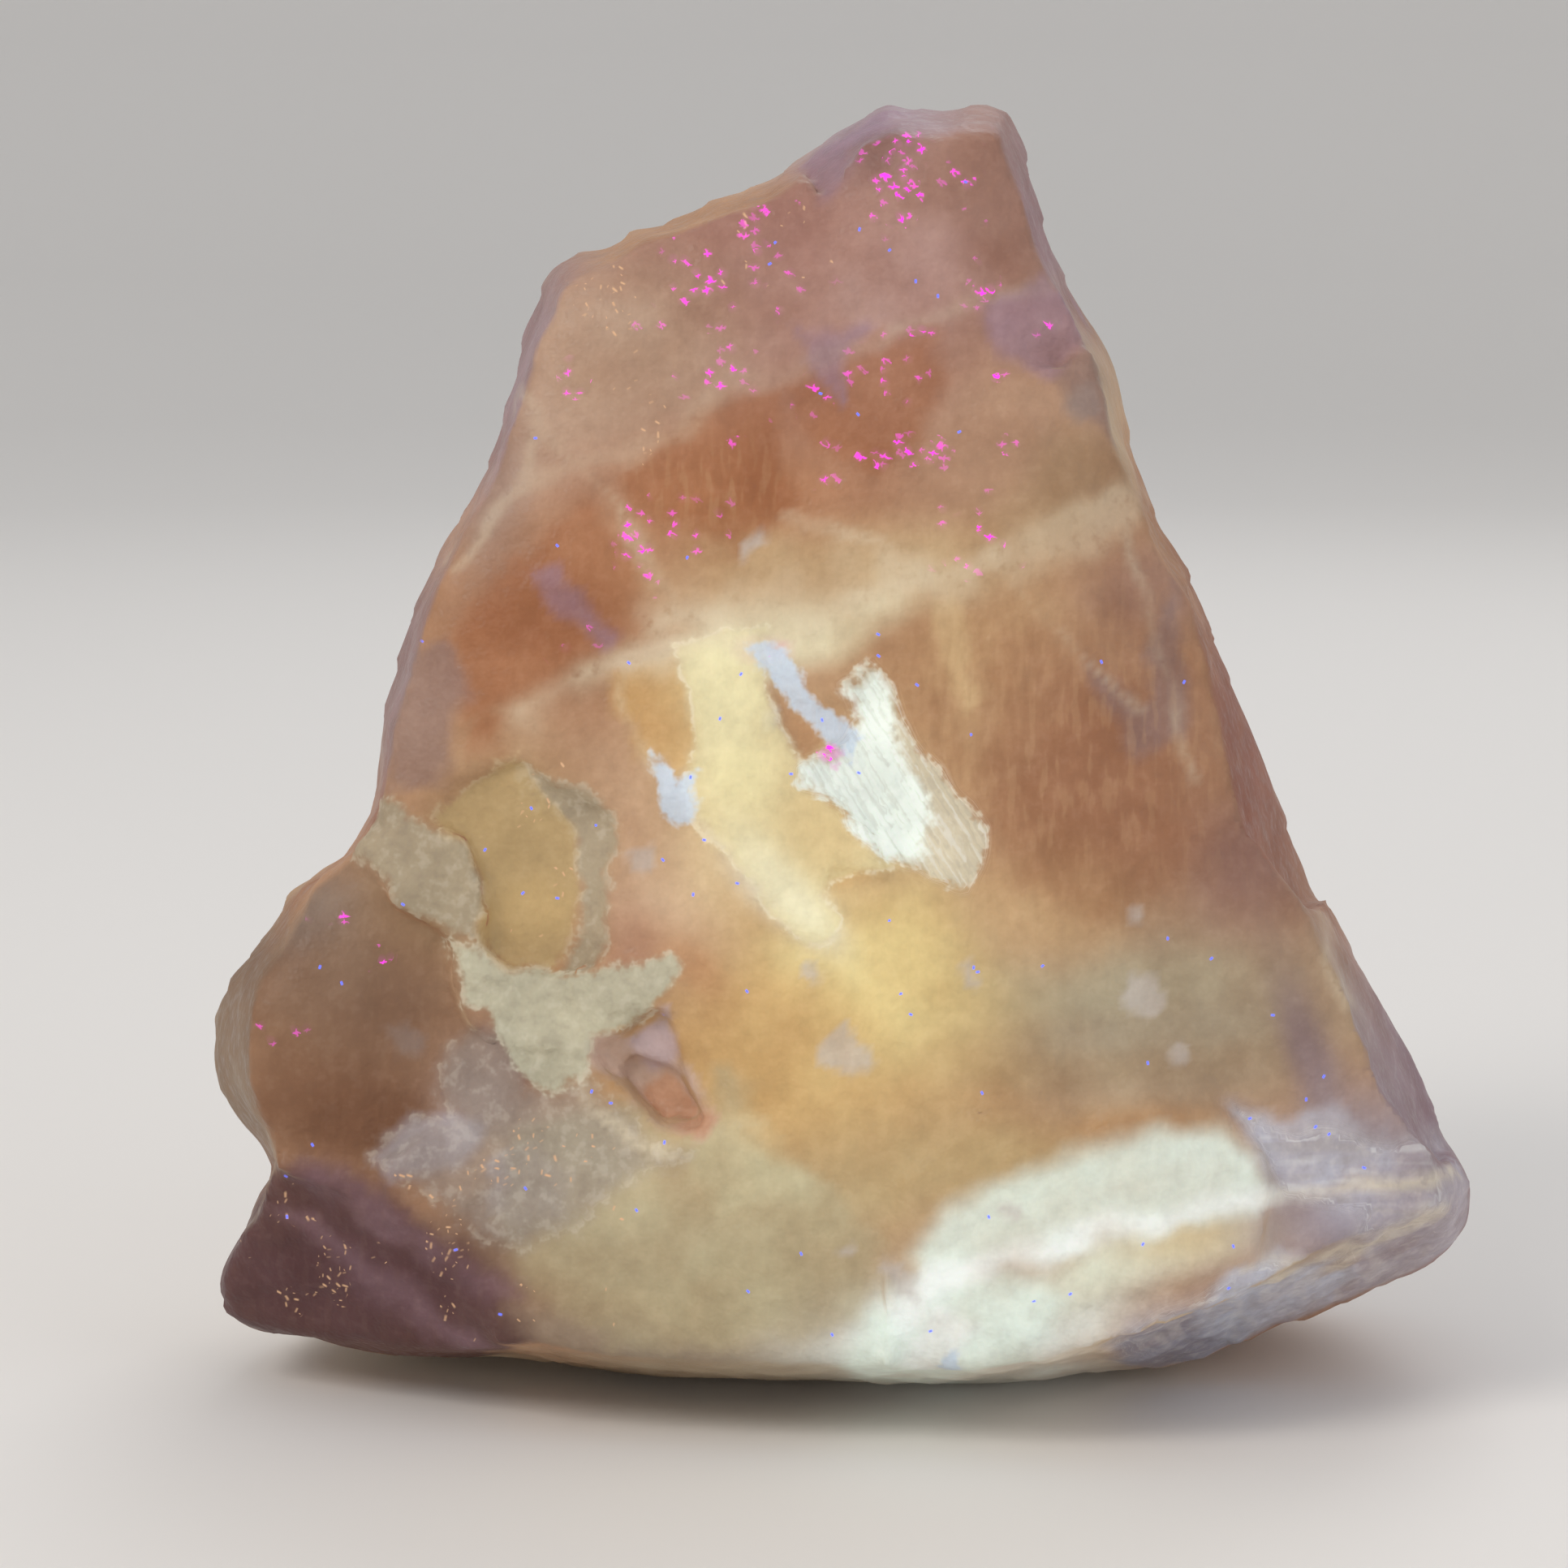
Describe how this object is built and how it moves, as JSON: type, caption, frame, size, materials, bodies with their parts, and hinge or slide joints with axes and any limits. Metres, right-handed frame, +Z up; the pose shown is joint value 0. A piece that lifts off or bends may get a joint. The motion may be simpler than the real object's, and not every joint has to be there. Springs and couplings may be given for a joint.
{
  "type": "calcite specimen",
  "caption": "Rough cleaved lump of honey calcite: a broad tapering front with plates and pits, a rounded lobe at the lower left, a stepped back and a flat foot.",
  "frame": {"origin": "middle of the bounding box at the plane of the flat foot", "axes": "+Z up, -Y towards the viewer of the broad front, +X to the viewer's right; the front leans back by about 8 degrees"},
  "size_m": [0.1572, 0.084, 0.1585],
  "materials": {
    "calcite": "translucent honey orange to cream crystal, satin to glossy on cleavage faces, with pale veils and a white fibrous scar"
  },
  "bodies": {
    "root": {"calcite": "calcite"}
  },
  "joints": []
}
